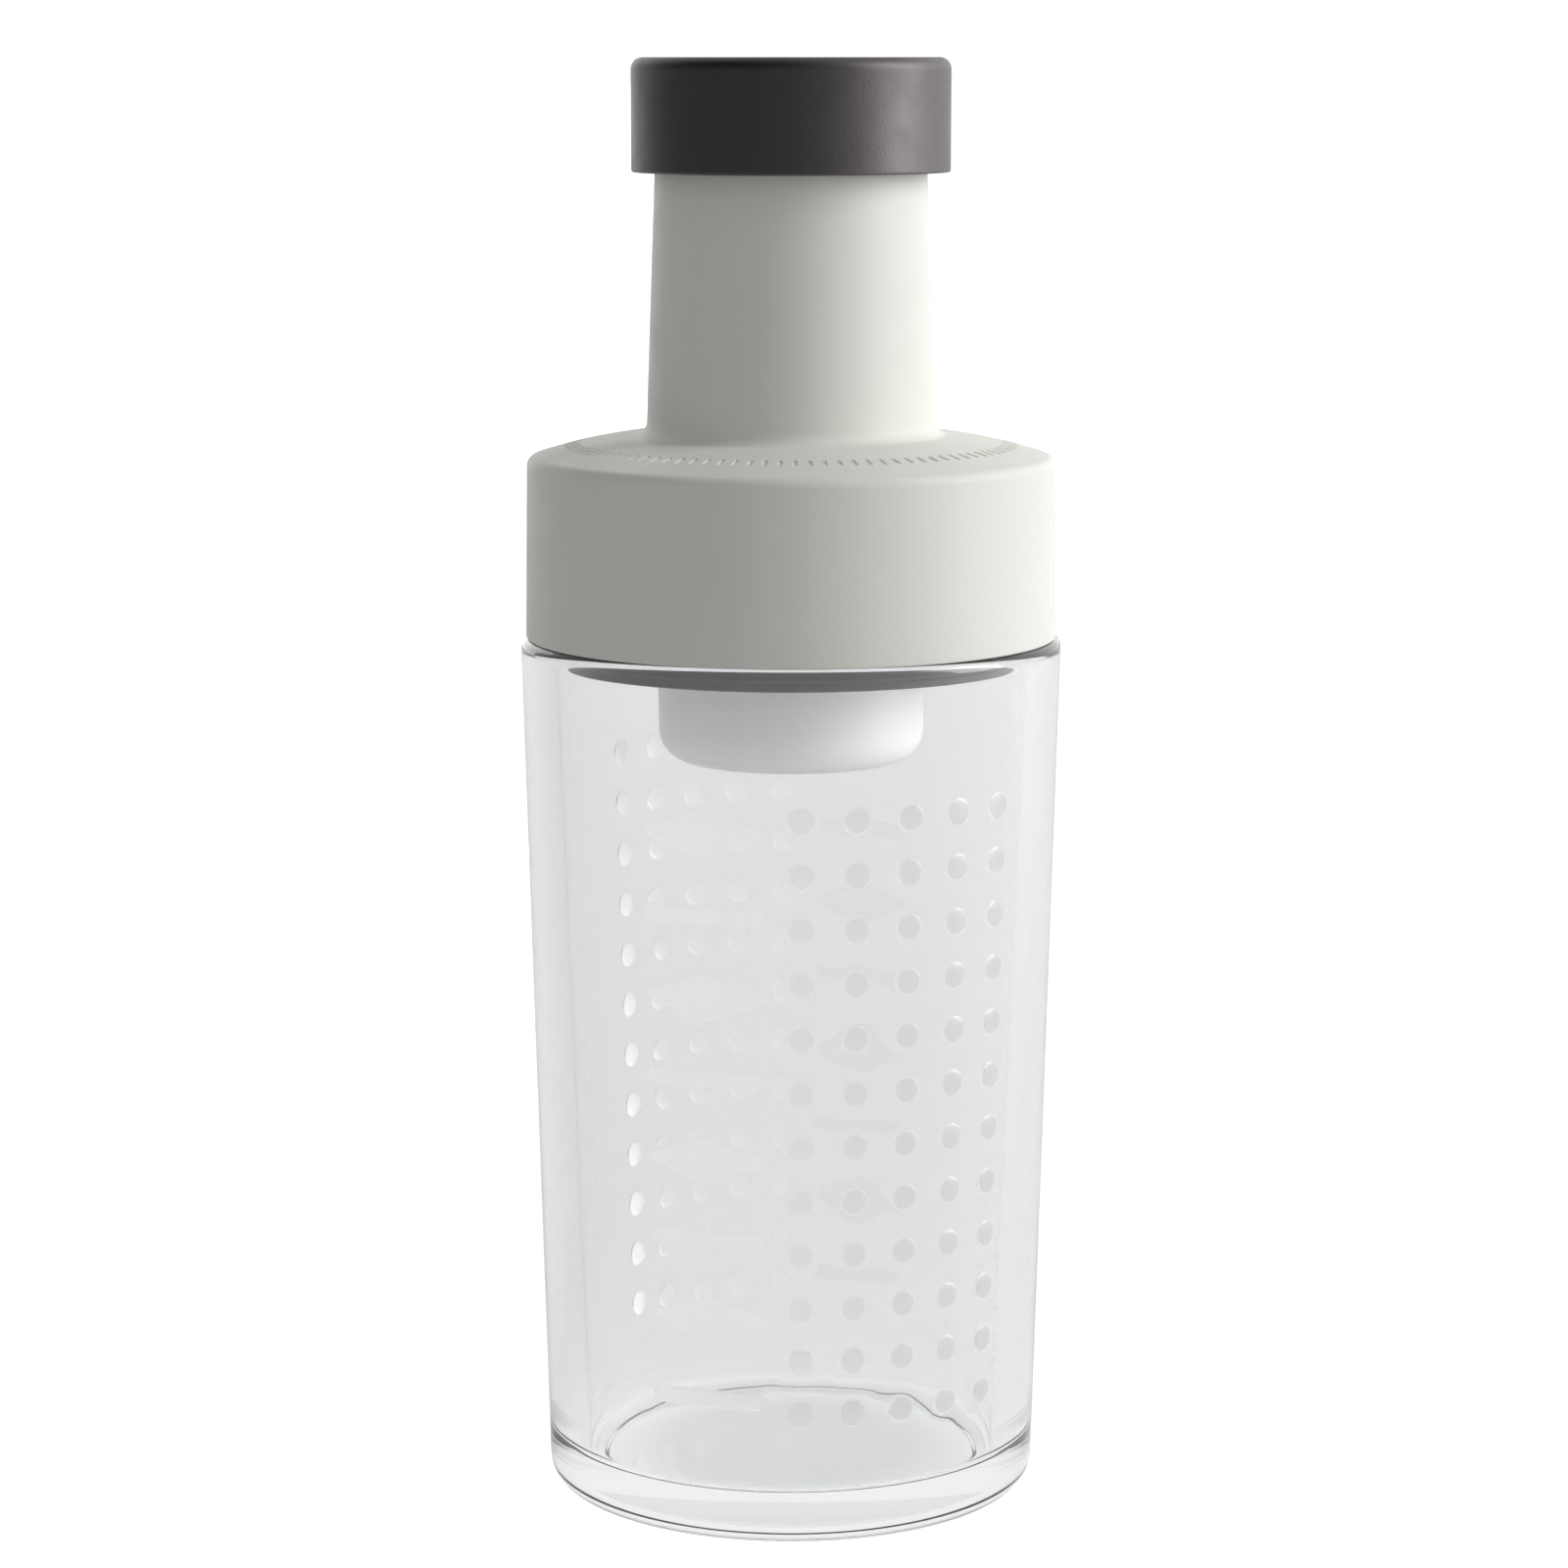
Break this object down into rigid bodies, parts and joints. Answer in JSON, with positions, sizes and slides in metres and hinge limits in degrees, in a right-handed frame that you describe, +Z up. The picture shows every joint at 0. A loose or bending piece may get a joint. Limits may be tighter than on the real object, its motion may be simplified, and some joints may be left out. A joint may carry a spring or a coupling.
{
  "type": "sugar dispenser",
  "caption": "Upright table sugar dispenser: tapered clear glass jar, white push-in lid with a tall neck and a hanging dosing cup, and a dark pull-off cap.",
  "frame": {"origin": "centre of the jar's foot, on the surface it stands on", "axes": "+Z up along the turning axis, from the foot to the cap; -Y towards the viewer of the picture"},
  "size_m": [0.0698, 0.0698, 0.1866],
  "materials": {
    "glass": "clear, fire-polished",
    "lid_plastic": "satin white",
    "inner_plastic": "smooth white",
    "cap_plastic": "fine satin, dark warm grey",
    "silicone": "smooth grey"
  },
  "bodies": {
    "jar": {"glass_jar": "glass"},
    "lid": {"lid_shell": "lid_plastic", "lid_plug": "inner_plastic", "lid_seal": "silicone", "metering_tube": "inner_plastic"},
    "cup": {"dosing_cup": "inner_plastic"},
    "cap": {"cap_shell": "cap_plastic", "cap_liner": "cap_plastic", "cap_seal": "silicone"}
  },
  "joints": [
    {"name": "lid_lift", "type": "slide", "parent": "jar", "child": "lid", "axis": [0, 0, 1], "range_m": [0, 0.07]},
    {"name": "cup_pull", "type": "slide", "parent": "lid", "child": "cup", "axis": [0, 0, -1], "range_m": [0, 0.04]},
    {"name": "cap_lift", "type": "slide", "parent": "lid", "child": "cap", "axis": [0, 0, 1], "range_m": [0, 0.03]}
  ]
}
